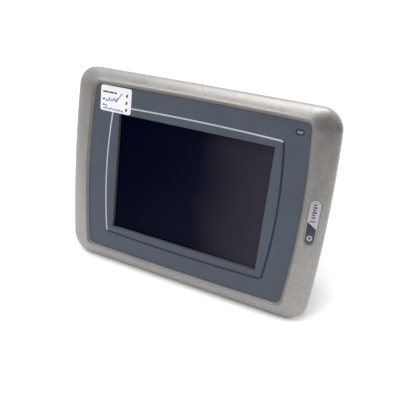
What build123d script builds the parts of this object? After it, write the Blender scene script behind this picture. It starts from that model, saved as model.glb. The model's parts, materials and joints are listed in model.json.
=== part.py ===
from build123d import *
import os

# Operator panel with a touch screen, for a cut-out in a cabinet wall. Millimetres.
# X runs to the right, Y into the cabinet and Z up. The origin is the centre of the
# frame's mounting face, which lies at y = 0 and bears on the front of the cabinet wall.

# Front frame: a cast plate with a domed rim, its sides bowed outwards.
FRONT_W = 202.0
FRONT_H = 150.0
FRONT_BOW = (2.9, 0.3)
FRONT_R = 14.0
EDGE_Y = -4.2
CREST_Y = -9.7
DOME_STEPS = (0.0, 0.04, 0.12, 0.26, 0.48, 0.75, 1.0)
CREST_LAND = 0.4
DOME_POWER = 1.25
DOME_ROUND = 0.7

# Front film in its shallow pocket, with the screen window and the lamp window.
FILM_W = 168.0
FILM_H = 129.4
FILM_BOW = (3.6, 1.0)
FILM_R = 3.5
FILM_GAP = 0.35
FILM_Y = -8.4
POCKET_Y = -8.0
LIP = 1.9
LIP_Y = -8.3
WINDOW_W = 119.6
WINDOW_H = 89.6
LAMP_X = 74.1
LAMP_Z = 57.2
LAMP_W = 4.3
LAMP_H = 2.2
LAMP_GAP = 0.7

# Touch glass, laminated to a protective pane and bonded behind the frame's web.
WEB_Y = -6.0
GLASS_POCKET_W = 134.0
GLASS_POCKET_H = 104.0
GLASS_W = 133.4
GLASS_H = 103.4
GLASS_T = 4.0
SEAL_T = 0.3
TAIL_X = -75.0
TAIL_W = 12.0
TAIL_GAP = 1.0
FLEX_T = 0.3

# Name badge in a flat-bottomed recess on the rim's right side.
BADGE_X = 92.4
BADGE_Z = 0.6
BADGE_L = 31.7
BADGE_W = 7.3
BADGE_T = 0.9
BADGE_TILT = 14.0
BADGE_GAP = 0.4
BADGE_EDGE = 0.3
RECESS_H = 3.0
BADGE_Y = -7.6

# Paper label stuck on the film's upper left corner.
LABEL_W = 26.3
LABEL_H = 18.6
LABEL_X = -63.5
LABEL_Z = 54.3
LABEL_T = 0.12
LABEL_R = 1.8

# Gasket in its groove round the case.
GASKET_W = 193.0
GASKET_H = 141.0
GASKET_R = 10.0
GASKET_BAND = 3.0
GASKET_DEPTH = 1.2
GASKET_PROUD = 0.5
GASKET_GAP = 0.1
SEAT_Y = -0.5

# Rear case: a box with a bay along its bottom for the plugs.
CASE_W = 180.0
CASE_H = 126.0
CASE_D = 44.0
CASE_WALL = 1.8
CASE_R = 5.0
CASE_EDGE_R = 2.0
BAY_X = 84.0
BAY_Y = 16.0
BAY_Z = -45.0
POSTS = ((-84.5, 57.0), (84.5, 57.0), (-84.5, -38.0), (84.5, -38.0))
POST_FLATS = 6.0
POST_STUD = 2.9
VENT_W = 2.4
VENT_L = 20.0
VENT_Y = 30.0
VENT_PITCH = 7.0

# Small metal screws: the radii of their shanks, heads and holes.
M3_R = 1.45
M3_HEAD_R = 2.8
M3_HEAD_H = 2.0
M3_L = 6.5
M3_PILOT_R = 1.5
M3_CLEAR_R = 1.7
M4_R = 2.0
M4_SHANK_R = 1.95
M4_CLEAR_R = 2.2

# Display module and its bracket.
LCD_W = 144.0
LCD_H = 104.6
LCD_Y = 0.4
LCD_BACK_Y = 8.6
LCD_WALL = 0.6
LCD_GLASS_W = 139.0
LCD_GLASS_H = 99.0
LCD_GLASS_Y = (1.1, 3.3)
LCD_TRAY_Y = 3.5
BOSS_X = 77.0
BOSS_Z = 50.0
BOSS_R = 4.0
BRACKET_Y = 9.0
BRACKET_T = 1.2
BRACKET_W = 138.0
BRACKET_H = 98.0
BRACKET_HOLE = (44.0, 64.0)
BRACKET_HOLE_X = 30.0

# Main board: X from -80 to 80, Z from -42 to 60.
BOARD_W = 160.0
BOARD_H = 102.0
BOARD_Z = 9.0
BOARD_Y = 22.0
BOARD_T = 1.6
BOARD_BACK_Y = BOARD_Y + BOARD_T
STANDOFF_FLATS = 6.0
STANDOFFS = ((-60.0, -30.0), (60.0, -30.0), (-60.0, 45.0), (60.0, 45.0))

# Coin cell on the main board.
CELL_X = -60.0
CELL_Z = 2.0
CELL_R = 10.0

# Ports in the bay's ceiling, which look down.
PORT_Y = 31.0
PORT_Z = BAY_Z - 1.2
SERIAL_25_X = -53.0
SERIAL_9_X = -9.0
USB_HOST_X = 19.0
ETHERNET_X = 38.0
POWER_X = 60.0
EARTH_X = 77.0
POLE_PITCH = 5.08
POLE_Y = 30.5
POLE_Z = -52.0
POLE_HEAD_R = 1.95
POLE_SHANK_R = 1.2
PORT_BACK = 24.4
PIN_R = 0.5
PIN_PITCH = 2.76
ROW_PITCH = 2.84
SHELL_D = 8.4
SHELL_25_W = 39.0
SHELL_9_W = 17.0
WIRE_PITCH = 1.27
JACK_PITCH_25 = 47.04
JACK_PITCH_9 = 24.99

# Ports in the right-hand wall, which look to the right.
USB_DEVICE_Z = -24.0
CARD_Z = 10.0
CARD_SLOT_W = 43.6
CARD_SLOT_H = 5.4
CARD_SLOT_Y = 28.2
BUTTON_Y = 28.5
BUTTON_Z = 35.6
ARM_X = 50.0
ARM_Y = 31.0
ARM_Z = 28.0
ARM_PIN_R = 1.0
SWITCH_Z = 46.0
SWITCH_PITCH = 2.54

# Expansion cover and rating plate on the rear wall.
COVER_X = -25.0
COVER_Z = -11.0
COVER_W = 90.0
COVER_H = 50.0
COVER_T = 1.5
COVER_SCREWS = (39.0, 19.0)
RATING_X = -38.0
RATING_Z = 38.0
RATING_W = 64.0
RATING_H = 32.0
RATING_R = 2.0
RATING_T = 0.15

# Wall clamps, two along the top and two along the bottom.
CLAMP_X = 60.0
CLAMP_W = 12.0
CLAMP_AXIS = CASE_H / 2 + 4.7
CLAMP_REACH = CASE_H / 2 + 7.3
CLAMP_Y = 6.5
CLAMP_BACK_Y = 16.0
FOOT_R = 2.9
FOOT_T = 2.4
FOOT_Y = 7.0
CLAMP_SCREW_R = 1.5
CLAMP_SCREW_L = 11.9
CLAMP_TIP_R = 1.0
CLAMP_PLATE = 1.5
CLAMP_TAB_W = 8.0
CLAMP_TAB_Y = (8.0, 11.0)
CLAMP_TAB_GAP = 0.2
FIT = 0.05


def slab(outline, back, front):
    """Give an outline drawn in X and Z its thickness, from y = back to y = front."""
    return extrude(Plane.XZ.offset(-back) * outline, amount=back - front)


def block(x, y, z):
    """Box between two limits along each axis."""
    spans = [sorted(pair) for pair in (x, y, z)]
    size = [high - low for low, high in spans]
    middle = [(high + low) / 2 for low, high in spans]
    return Pos(*middle) * Box(*size)


def around(middle, width):
    """Limits of a width centred on a point."""
    return (middle - width / 2, middle + width / 2)


def rod(radius, start, length, axis):
    """Round bar from a point along an axis."""
    base = (Align.CENTER, Align.CENTER, Align.MIN)
    return Plane(start, z_dir=axis) * Cylinder(radius, length, align=base)


def hex_bar(flats, start, length, axis):
    """Hexagonal bar from a point along an axis, sized across its flats."""
    section = RegularPolygon(flats / 2, 6, major_radius=False)
    return extrude(Plane(start, z_dir=axis) * section, amount=length)


def bowed(width, height, bow, radius):
    """Rectangle whose sides bow outwards. Width and height are taken at the middle."""
    x = width / 2
    z = height / 2
    corner_x = x - bow[0]
    corner_z = z - bow[1]
    right = ThreePointArc((corner_x, -corner_z), (x, 0), (corner_x, corner_z))
    top = ThreePointArc((corner_x, corner_z), (0, z), (-corner_x, corner_z))
    left = ThreePointArc((-corner_x, corner_z), (-x, 0), (-corner_x, -corner_z))
    bottom = ThreePointArc((-corner_x, -corner_z), (0, -z), (corner_x, -corner_z))
    outline = make_face([right, top, left, bottom])
    return fillet(outline.vertices(), radius)


def film_outline(margin):
    """Outline of the front film, grown by a margin."""
    return bowed(FILM_W + 2 * margin, FILM_H + 2 * margin, FILM_BOW, FILM_R + margin)


def pill(width, height):
    """Slot shape with round ends, longer along X."""
    return SlotOverall(width, height)


def join(pieces):
    """Fuse a list of solids into one."""
    whole = pieces[0]
    for piece in pieces[1:]:
        whole = whole + piece
    return whole


def group(pieces):
    """Keep separate solids together in one sub-part."""
    return Compound(children=[piece.solid() for piece in pieces])


# ---------------------------------------------------------------- front


def dome():
    """Rim of the frame, which rises from its edge to a crest round the film."""
    margin = FILM_GAP + LIP + CREST_LAND
    crest_w = FILM_W + 2 * margin
    crest_h = FILM_H + 2 * margin
    crest_r = FILM_R + margin
    sections = []
    for share in DOME_STEPS:
        rise = (1 - (1 - share) ** DOME_POWER) ** DOME_ROUND
        width = FRONT_W + (crest_w - FRONT_W) * share
        height = FRONT_H + (crest_h - FRONT_H) * share
        bow_x = FRONT_BOW[0] + (FILM_BOW[0] - FRONT_BOW[0]) * share
        bow_z = FRONT_BOW[1] + (FILM_BOW[1] - FRONT_BOW[1]) * share
        radius = FRONT_R + (crest_r - FRONT_R) * share
        outline = bowed(width, height, (bow_x, bow_z), radius)
        sections.append(Plane.XZ.offset(-(EDGE_Y + (CREST_Y - EDGE_Y) * rise)) * outline)
    return loft(sections)


def film_pocket():
    """Pocket for the film, with a sloping lip that leads down from the crest."""
    spare = 0.6
    slope = LIP / (LIP_Y - CREST_Y)
    outer = film_outline(FILM_GAP + LIP + spare * slope)
    inner = film_outline(FILM_GAP)
    mouth = Plane.XZ.offset(-(CREST_Y - spare)) * outer
    throat = Plane.XZ.offset(-LIP_Y) * inner
    return loft([mouth, throat], ruled=True) + slab(inner, POCKET_Y, LIP_Y)


def badge_plane():
    """Plane of the badge's recess: it faces the front and leans to the right."""
    place = Location((BADGE_X, BADGE_Y, BADGE_Z), (0, 0, BADGE_TILT))
    return Plane(place) * Plane.XZ


def front_frame():
    outline = bowed(FRONT_W, FRONT_H, FRONT_BOW, FRONT_R)
    frame = slab(outline, 0, EDGE_Y) + dome()
    frame = frame - film_pocket()
    frame = frame - slab(Rectangle(WINDOW_W, WINDOW_H), 0.1, CREST_Y)
    frame = frame - slab(Rectangle(GLASS_POCKET_W, GLASS_POCKET_H), 0.1, WEB_Y)
    inside_w = GASKET_W - 2 * GASKET_BAND
    inside_h = GASKET_H - 2 * GASKET_BAND
    seat = RectangleRounded(inside_w, inside_h, GASKET_R - GASKET_BAND)
    groove = RectangleRounded(GASKET_W, GASKET_H, GASKET_R) - seat
    frame = frame - slab(seat, 0.1, SEAT_Y) - slab(groove, 0.1, -GASKET_DEPTH)
    for x in (-BOSS_X, BOSS_X):
        for z in (-BOSS_Z, BOSS_Z):
            frame = frame + rod(BOSS_R, (x, SEAT_Y, z), BRACKET_Y - SEAT_Y, (0, 1, 0))
            frame = frame - rod(M3_PILOT_R, (x, 1.5, z), BRACKET_Y, (0, 1, 0))
    for x, z in POSTS:
        frame = frame - rod(M3_PILOT_R, (x, -POST_STUD - 0.1, z), POST_STUD + 0.1, (0, 1, 0))
    lamp_hole = Pos(LAMP_X, LAMP_Z) * pill(LAMP_W + 2 * LAMP_GAP, LAMP_H + 2 * LAMP_GAP)
    frame = frame - slab(lamp_hole, 0.1, CREST_Y)
    notch_y = (WEB_Y + SEAL_T + GLASS_T - TAIL_GAP, 0.1)
    notch_x = (-GLASS_POCKET_W / 2 + 1, TAIL_X - 1.5)
    frame = frame - block(notch_x, notch_y, around(0, TAIL_W + 2 * TAIL_GAP))
    recess = badge_plane() * (Rot(0, 0, 90) * pill(BADGE_L + 2 * BADGE_GAP, BADGE_W + 2 * BADGE_GAP))
    return frame - extrude(recess, amount=RECESS_H)


def front_overlay():
    film = slab(film_outline(0), POCKET_Y, FILM_Y)
    film = film - slab(Rectangle(WINDOW_W, WINDOW_H), POCKET_Y + 0.1, FILM_Y - 0.1)
    hole = Pos(LAMP_X, LAMP_Z) * pill(LAMP_W + 2 * LAMP_GAP, LAMP_H + 2 * LAMP_GAP)
    return film - slab(hole, POCKET_Y + 0.1, FILM_Y - 0.1)


def name_badge():
    face = badge_plane() * (Rot(0, 0, 90) * pill(BADGE_L, BADGE_W))
    plate = extrude(face, amount=BADGE_T)
    front = plate.faces().sort_by(Axis.Y)[0]
    return chamfer(front.edges(), BADGE_EDGE)


def service_label():
    outline = Pos(LABEL_X, LABEL_Z) * RectangleRounded(LABEL_W, LABEL_H, LABEL_R)
    return slab(outline, FILM_Y, FILM_Y - LABEL_T)


def led_light_pipe():
    stem = Pos(LAMP_X, LAMP_Z) * pill(LAMP_W, LAMP_H)
    collar = Pos(LAMP_X, LAMP_Z) * pill(LAMP_W + 2.4, LAMP_H + 2.4)
    return slab(stem, 20.2, FILM_Y) + slab(collar, 1.6, SEAT_Y)


def status_led():
    lamp = block(around(LAMP_X, 3.2), (20.4, BOARD_Y), around(LAMP_Z, 2.0))
    return chamfer(lamp.edges().group_by(Axis.Y)[0], 0.4)


def front_gasket():
    inset = GASKET_BAND - GASKET_GAP
    inner = RectangleRounded(GASKET_W - 2 * inset, GASKET_H - 2 * inset, GASKET_R - GASKET_BAND)
    outer = RectangleRounded(GASKET_W - 2 * GASKET_GAP, GASKET_H - 2 * GASKET_GAP, GASKET_R)
    ring = outer - inner
    return slab(ring, GASKET_PROUD, -GASKET_DEPTH)


def touch_seal():
    ring = Rectangle(GLASS_W - 0.6, GLASS_H - 0.6) - Rectangle(WINDOW_W + 3, WINDOW_H + 3)
    return slab(ring, WEB_Y + SEAL_T, WEB_Y)


def touch_glass():
    front = WEB_Y + SEAL_T
    return slab(RectangleRounded(GLASS_W, GLASS_H, 1.0), front + GLASS_T, front)


def touch_tail():
    back = WEB_Y + SEAL_T + GLASS_T
    on_glass = block((-60.0, TAIL_X), (back, back + FLEX_T), around(0, TAIL_W))
    riser = block((TAIL_X - FLEX_T, TAIL_X), (back, BOARD_Y - 1.0), around(0, TAIL_W))
    plug = block((TAIL_X - FLEX_T, TAIL_X + 4.0), (BOARD_Y - 1.8, BOARD_Y), around(0, TAIL_W))
    return join([on_glass, riser, plug])


# ---------------------------------------------------------------- display


def lcd_bezel():
    box = block(around(0, LCD_W), (LCD_Y, LCD_BACK_Y), around(0, LCD_H))
    inside_x = around(0, LCD_W - 2 * LCD_WALL)
    inside_z = around(0, LCD_H - 2 * LCD_WALL)
    inside = block(inside_x, (LCD_Y + LCD_WALL, LCD_BACK_Y + 1), inside_z)
    window = block(around(0, WINDOW_W - 2.4), (0, LCD_BACK_Y), around(0, WINDOW_H - 1.8))
    return box - inside - window


def lcd_glass():
    return block(around(0, LCD_GLASS_W), LCD_GLASS_Y, around(0, LCD_GLASS_H))


def lcd_backlight():
    tray = block(around(0, LCD_W - 2.0), (LCD_TRAY_Y, LCD_BACK_Y), around(0, LCD_H - 2.0))
    relief = block(around(0, 120.0), (7.4, LCD_BACK_Y + 1), around(0, 82.0))
    return tray - relief


def lcd_bracket():
    plate = Rectangle(BRACKET_W, BRACKET_H)
    for x in (-1, 1):
        for z in (-1, 1):
            ear = Pos(x * BOSS_X, z * BOSS_Z) * Circle(5.0)
            arm = Pos(x * (BOSS_X - 5), z * (BOSS_Z - 4)) * Rectangle(12.0, 7.0)
            plate = plate + ear + arm
    for x in (-1, 1):
        plate = plate - Pos(x * BRACKET_HOLE_X, 0) * RectangleRounded(*BRACKET_HOLE, 3.0)
    for x in (-1, 1):
        for z in (-1, 1):
            plate = plate - Pos(x * BOSS_X, z * BOSS_Z) * Circle(M3_CLEAR_R)
    return slab(plate, BRACKET_Y + BRACKET_T, BRACKET_Y)


def display_flex():
    middle = 30.0
    width = 30.0
    top = 10.0
    on_lcd = block(around(middle, width), (LCD_BACK_Y, LCD_BACK_Y + FLEX_T), (-24.0, top))
    riser = block(around(middle, width), (LCD_BACK_Y, BOARD_Y - 1.5), (top - FLEX_T, top))
    socket = block(around(middle, width + 3.0), (BOARD_Y - 2.0, BOARD_Y), (top - 1.5, top + 3.5))
    return join([on_lcd, riser, socket])


def backlight_inverter():
    board_y = 12.0
    back_y = board_y + 1.2
    middle = 57.0
    pieces = [
        block((-45.0, 25.0), (board_y, back_y), around(middle, 7.6)),
        block((-20.0, -2.0), (back_y, back_y + 6.3), around(middle, 6.4)),
        block((-42.0, -34.0), (back_y, back_y + 5.0), around(middle, 5.0)),
    ]
    for x in (8.0, 16.0):
        pieces.append(rod(2.6, (x, back_y, middle), 5.0, (0, 1, 0)))
    for x in (-42.0, 22.0):
        pieces.append(block(around(x, 4.0), (SEAT_Y, board_y), around(middle, 4.0)))
    return join(pieces)


# ---------------------------------------------------------------- boards


def board_standoffs():
    pieces = []
    for x, z in STANDOFFS:
        start = BRACKET_Y + BRACKET_T
        bar = hex_bar(STANDOFF_FLATS, (x, start, z), BOARD_Y - start, (0, 1, 0))
        pieces.append(bar - rod(M3_PILOT_R, (x, BOARD_Y - 7.0, z), 8.0, (0, 1, 0)))
    return group(pieces)


def main_board():
    board = slab(Pos(0, BOARD_Z) * RectangleRounded(BOARD_W, BOARD_H, 2.0), BOARD_BACK_Y, BOARD_Y)
    for x, z in STANDOFFS:
        board = board - rod(M3_CLEAR_R, (x, BOARD_Y - 1, z), 4.0, (0, 1, 0))
    return board


def processor_chip():
    x = -28.0
    z = 24.0
    package_w = 31.0
    sink_w = 27.0
    package_y = BOARD_BACK_Y + 2.2
    base_y = package_y + 1.8
    package = block(around(x, package_w), (BOARD_BACK_Y, package_y), around(z, package_w))
    sink = block(around(x, sink_w), (package_y, base_y), around(z, sink_w))
    for i in range(7):
        fin_x = x + (i - 3) * 4.0
        sink = sink + block(around(fin_x, 1.2), (base_y, base_y + 6.0), around(z, sink_w))
    return package + sink


def memory_chips():
    pieces = []
    for i in range(2):
        for j in range(2):
            x = around(10.0 + i * 14.0, 8.0)
            z = around(20.0 + j * 20.0, 14.0)
            pieces.append(block(x, (BOARD_BACK_Y, BOARD_BACK_Y + 1.2), z))
    return group(pieces)


def capacitors():
    pieces = []
    for i in range(4):
        x = -2.0 + i * 12.0
        can = rod(4.0, (x, BOARD_BACK_Y, -21.0), 11.0, (0, 1, 0))
        pieces.append(fillet(can.edges().sort_by(Axis.Y)[-1], 0.6))
    return group(pieces)


def battery_holder():
    floor_y = BOARD_BACK_Y + 1.4
    cup = rod(CELL_R + 2.2, (CELL_X, BOARD_BACK_Y, CELL_Z), 4.8, (0, 1, 0))
    cup = cup - rod(CELL_R + 0.2, (CELL_X, floor_y, CELL_Z), 5.0, (0, 1, 0))
    gate_z = (CELL_Z + CELL_R - 2.0, CELL_Z + CELL_R + 4.0)
    return cup - block(around(CELL_X, CELL_R), (floor_y, floor_y + 5), gate_z)


def coin_cell():
    cell = rod(CELL_R, (CELL_X, BOARD_BACK_Y + 1.5, CELL_Z), 3.2, (0, 1, 0))
    return fillet(cell.edges().sort_by(Axis.Y)[-1], 0.5)


def m3_screw(place, axis):
    """Pan-head screw, with its point under the head at place and its head along axis."""
    plane = Plane(place, z_dir=axis)
    up = (Align.CENTER, Align.CENTER, Align.MIN)
    down = (Align.CENTER, Align.CENTER, Align.MAX)
    head = Cylinder(M3_HEAD_R, M3_HEAD_H, align=up)
    head = fillet(head.edges().sort_by(Axis.Z)[-1], 0.8)
    slot = Pos(0, 0, 1.0) * (Box(3.2, 0.8, 3.0, align=up) + Box(0.8, 3.2, 3.0, align=up))
    return plane * (head - slot + Cylinder(M3_R, M3_L, align=down))


def m3_screws():
    places = []
    for x in (-BOSS_X, BOSS_X):
        for z in (-BOSS_Z, BOSS_Z):
            places.append((x, BRACKET_Y + BRACKET_T, z))
    for x, z in STANDOFFS:
        places.append((x, BOARD_BACK_Y, z))
    for x in (-COVER_SCREWS[0], COVER_SCREWS[0]):
        for z in (-COVER_SCREWS[1], COVER_SCREWS[1]):
            places.append((COVER_X + x, CASE_D + COVER_T, COVER_Z + z))
    return group([m3_screw(place, (0, 1, 0)) for place in places])


# ---------------------------------------------------------------- ports in the bay


def d_outline(width, height):
    """D-shaped outline, wide side towards the rear, with rounded corners."""
    slant = height * 0.176
    half = width / 2
    corners = Polygon(
        (-half + slant, -height / 2), (half - slant, -height / 2), (half, height / 2),
        (-half, height / 2), align=None,
    )
    return fillet(corners.vertices(), 1.6)


def downward(outline, x, top, bottom):
    """Give an outline drawn in X and Y its thickness, from z = top down to z = bottom."""
    return extrude(Pos(x, PORT_Y, bottom) * outline, amount=top - bottom)


def serial_port(x, shell_w, flange_w, jack_pitch, rows):
    """Plug-type port with its flange on the inside of the bay's ceiling."""
    inner = BAY_Z + CASE_WALL
    flange = downward(RectangleRounded(flange_w, 12.4, 1.5), x, inner + 1.0, inner)
    for side in (-1, 1):
        flange = flange - rod(1.6, (x + side * jack_pitch / 2, PORT_Y, inner - 1), 3.0, (0, 0, 1))
    shell = downward(d_outline(shell_w, SHELL_D), x, inner + 1.0, inner - 6.4)
    shell = shell - downward(d_outline(shell_w - 1.0, SHELL_D - 1.0), x, inner - 0.6, inner - 7.0)
    body = block(around(x, shell_w - 1), around(PORT_Y, 10.6), (inner + 1.0, inner + 11.0))
    port = flange + shell + body
    for row, count in enumerate(rows):
        y = PORT_Y + (0.5 - row) * ROW_PITCH
        for i in range(count):
            pin_x = x + (i - (count - 1) / 2) * PIN_PITCH
            port = port + rod(PIN_R, (pin_x, y, inner - 5.6), 5.2, (0, 0, 1))
    return port


def serial_port_25():
    return serial_port(SERIAL_25_X, SHELL_25_W, 53.0, JACK_PITCH_25, (13, 12))


def serial_port_9():
    return serial_port(SERIAL_9_X, SHELL_9_W, 30.8, JACK_PITCH_9, (5, 4))


def jack_places():
    """Middle of each jack nut along X."""
    places = []
    for x, pitch in ((SERIAL_25_X, JACK_PITCH_25), (SERIAL_9_X, JACK_PITCH_9)):
        places = places + [x - pitch / 2, x + pitch / 2]
    return places


def jack_nuts():
    pieces = []
    for x in jack_places():
        nut = hex_bar(4.8, (x, PORT_Y, BAY_Z), 5.0, (0, 0, -1))
        stud = rod(1.4, (x, PORT_Y, BAY_Z), 4.2, (0, 0, 1))
        thread = rod(1.13, (x, PORT_Y, BAY_Z - 5.0), 4.6, (0, 0, 1))
        pieces.append(nut + stud - thread)
    return group(pieces)


def ethernet_jack():
    x = ETHERNET_X
    can = block(around(x, 16.2), (PORT_BACK, 37.8), (PORT_Z, PORT_Z + 21.0))
    mouth = block(around(x, 11.8), (26.0, 33.8), (PORT_Z - 1, PORT_Z + 13.0))
    latch = block(around(x, 6.2), (33.0, 36.2), (PORT_Z - 1, PORT_Z + 9.0))
    jack = can - mouth - latch
    for i in range(8):
        wire_x = x + (i - 3.5) * WIRE_PITCH
        jack = jack + block(around(wire_x, 0.5), (25.9, 26.5), (PORT_Z + 1.0, PORT_Z + 13.0))
    return jack


def usb_host_port():
    x = USB_HOST_X
    can = block(around(x, 13.2), (27.6, 33.4), (PORT_Z, PORT_Z + 14.0))
    mouth = block(around(x, 12.5), (27.95, 33.05), (PORT_Z - 1, PORT_Z + 9.4))
    tongue = block(around(x, 11.1), (28.6, 30.4), (PORT_Z + 1.2, PORT_Z + 10.0))
    post = block(around(x, 10.0), (PORT_BACK, 27.7), (PORT_Z + 4.0, PORT_Z + 13.0))
    return can - mouth + tongue + post


def pole_places():
    """Middle of each pole of the supply plug along X."""
    return [POWER_X + (i - 1) * POLE_PITCH for i in range(3)]


def power_header():
    shroud = block(around(POWER_X, 19.0), (25.0, 36.0), (-46.0, -33.0))
    cavity = block(around(POWER_X, 16.8), (26.4, 34.6), (-47.0, -36.0))
    header = shroud - cavity
    for x in pole_places():
        header = header + rod(PIN_R, (x, POLE_Y, -41.5), 6.0, (0, 0, 1))
    return header


def power_plug():
    nose = block(around(POWER_X, 15.9), (26.9, 34.1), (-46.4, -36.5))
    body = block(around(POWER_X, 16.4), (24.6, 37.0), (-57.4, -46.4))
    plug = nose + chamfer(body.edges().filter_by(Axis.Z), 0.6)
    for x in pole_places():
        plug = plug - rod(0.85, (x, POLE_Y, -43.5), 8.0, (0, 0, 1))
        plug = plug - rod(1.4, (x, 28.6, -58.0), 8.6, (0, 0, 1))
        plug = plug - rod(POLE_HEAD_R + FIT, (x, 34.4, POLE_Z), 3.0, (0, 1, 0))
        plug = plug - rod(POLE_SHANK_R + FIT, (x, 31.0, POLE_Z), 4.0, (0, 1, 0))
    return plug


def power_plug_screw(x):
    head = rod(POLE_HEAD_R, (x, 34.6, POLE_Z), 1.8, (0, 1, 0))
    slot = block(around(x, 0.6), (35.6, 37.0), around(POLE_Z, 4.4))
    return head - slot + rod(POLE_SHANK_R, (x, 31.3, POLE_Z), 3.3, (0, 1, 0))


def earth_stud():
    stud = rod(M4_R, (EARTH_X, PORT_Y, BAY_Z), 10.0, (0, 0, -1))
    return chamfer(stud.edges().sort_by(Axis.Z)[0], 0.5)


def earth_nut():
    nut = hex_bar(7.0, (EARTH_X, PORT_Y, BAY_Z - 0.2), 3.2, (0, 0, -1))
    return nut - rod(M4_R + 0.02, (EARTH_X, PORT_Y, BAY_Z - 5.0), 6.0, (0, 0, 1))


# ---------------------------------------------------------------- ports in the side wall


def card_slot():
    header = block((46.0, 54.0), (PORT_BACK, 31.6), around(CARD_Z, CARD_SLOT_W + 2.4))
    socket = header
    for side in (-1, 1):
        z = CARD_Z + side * (CARD_SLOT_W / 2 + 0.6)
        socket = socket + block((54.0, 88.0), (PORT_BACK, 31.6), around(z, 1.2))
    socket = socket + block((54.0, 86.0), (PORT_BACK, 25.1), around(CARD_Z, CARD_SLOT_W + 2.4))
    for row in range(2):
        for i in range(25):
            z = CARD_Z + (i - 12) * WIRE_PITCH
            socket = socket + block((53.5, 57.5), around(27.0 + row * 1.3, 0.4), around(z, 0.4))
    return socket + rod(ARM_PIN_R, (ARM_X, ARM_Y, ARM_Z), 2.8, (0, 1, 0))


def card_eject_button():
    cap = block((86.0, CASE_W / 2 + 3.0), around(BUTTON_Y, 4.0), around(BUTTON_Z, 3.4))
    cap = fillet(cap.faces().sort_by(Axis.X)[-1].edges(), 0.5)
    return cap + block((52.3, 87.0), around(BUTTON_Y, 2.0), around(BUTTON_Z, 2.0))


def card_eject_arm():
    bar = Pos(50.4, 20.5) * RectangleRounded(5.0, 33.0, 2.4)
    arm = slab(bar, 33.2, 32.2) - rod(ARM_PIN_R + FIT, (ARM_X, ARM_Y, ARM_Z), 4.0, (0, 1, 0))
    push_tab = block((50.4, 51.7), (27.4, 32.4), around(BUTTON_Z - 0.2, 1.6))
    throw_tab = block((52.0, 54.9), (31.9, 32.4), around(6.0, 3.0)) + block(
        (54.4, 55.2), (29.2, 32.4), around(6.0, 3.0)
    )
    return arm + push_tab + throw_tab


def mode_switch():
    body = block((82.0, 89.9), (PORT_BACK, 30.4), around(SWITCH_Z, 4 * SWITCH_PITCH + 1.4))
    for i in range(4):
        z = SWITCH_Z + (i - 1.5) * SWITCH_PITCH
        body = body - block((88.6, 91.0), (25.2, 29.6), around(z, 1.6))
    return body


def mode_slider(i):
    z = SWITCH_Z + (i - 1.5) * SWITCH_PITCH
    return block((88.9, 91.2), (25.5, 27.1), around(z, 1.3))


def usb_device_port():
    z = USB_DEVICE_Z
    end = CASE_W / 2 + 0.8
    can = block((end - 16.8, end), (PORT_BACK, 35.4), around(z, 12.0))
    mouth = block((end - 9.8, end + 1.0), (26.0, 33.8), around(z, 8.5))
    mouth = chamfer(mouth.edges().filter_by(Axis.X).group_by(Axis.Y)[-1], 1.5)
    tongue = block((end - 10.8, end - 1.0), around(29.9, 3.2), around(z, 5.6))
    return can - mouth + tongue


# ---------------------------------------------------------------- rear case


def case_shell():
    """Box that is open at the front, with the plug bay folded into its bottom."""
    outer = slab(RectangleRounded(CASE_W, CASE_H, CASE_R), CASE_D, SEAT_Y)
    outer = fillet(outer.faces().sort_by(Axis.Y)[-1].edges(), CASE_EDGE_R)
    inside_w = CASE_W - 2 * CASE_WALL
    inside_h = CASE_H - 2 * CASE_WALL
    inside = RectangleRounded(inside_w, inside_h, CASE_R - CASE_WALL)
    shell = outer - slab(inside, CASE_D - CASE_WALL, SEAT_Y - 1)
    low = -CASE_H / 2 - 1
    bay_walls = block(
        (-BAY_X - CASE_WALL, BAY_X + CASE_WALL), (BAY_Y - CASE_WALL, CASE_D), (low, BAY_Z + CASE_WALL)
    )
    bay = block((-BAY_X, BAY_X), (BAY_Y, CASE_D + 1), (low - 1, BAY_Z))
    return shell + (bay_walls & outer) - bay


def vents():
    """Cooling slots: one row across the top wall and one column on the rear wall."""
    slots = []
    for i in range(15):
        x = (i - 7) * VENT_PITCH
        outline = Pos(x, VENT_Y, CASE_H / 2 - 3) * SlotOverall(VENT_L, VENT_W, rotation=90)
        slots.append(extrude(outline, amount=6.0))
    for i in range(9):
        z = -28.0 + i * VENT_PITCH
        slots.append(slab(Pos(54.0, z) * pill(40.0, VENT_W), CASE_D + 1, CASE_D - 3))
    return slots


def bay_cutouts():
    """Holes in the bay's ceiling, one for each port."""
    top = BAY_Z + CASE_WALL + 1
    bottom = BAY_Z - 1
    cuts = [
        downward(d_outline(SHELL_25_W + 0.6, SHELL_D + 0.6), SERIAL_25_X, top, bottom),
        downward(d_outline(SHELL_9_W + 0.6, SHELL_D + 0.6), SERIAL_9_X, top, bottom),
        block(around(ETHERNET_X, 16.8), (24.1, 38.1), (bottom, top)),
        block(around(USB_HOST_X, 13.8), (27.3, 33.7), (bottom, top)),
        block(around(POWER_X, 19.6), (24.7, 36.3), (bottom, top)),
    ]
    for x in jack_places():
        cuts.append(rod(1.6, (x, PORT_Y, bottom), 4.0, (0, 0, 1)))
    return cuts


def side_cutouts():
    """Holes in the right-hand wall, one for each port and control."""
    wall = (CASE_W / 2 - 4, CASE_W / 2 + 1)
    return [
        block(wall, (24.1, 35.7), around(USB_DEVICE_Z, 12.6)),
        block(wall, around(CARD_SLOT_Y, CARD_SLOT_H + 0.4), around(CARD_Z, CARD_SLOT_W + 0.4)),
        block(wall, around(BUTTON_Y, 4.6), around(BUTTON_Z, 4.0)),
        block(wall, (24.2, 30.6), around(SWITCH_Z, 4 * SWITCH_PITCH + 1.8)),
    ]


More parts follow.
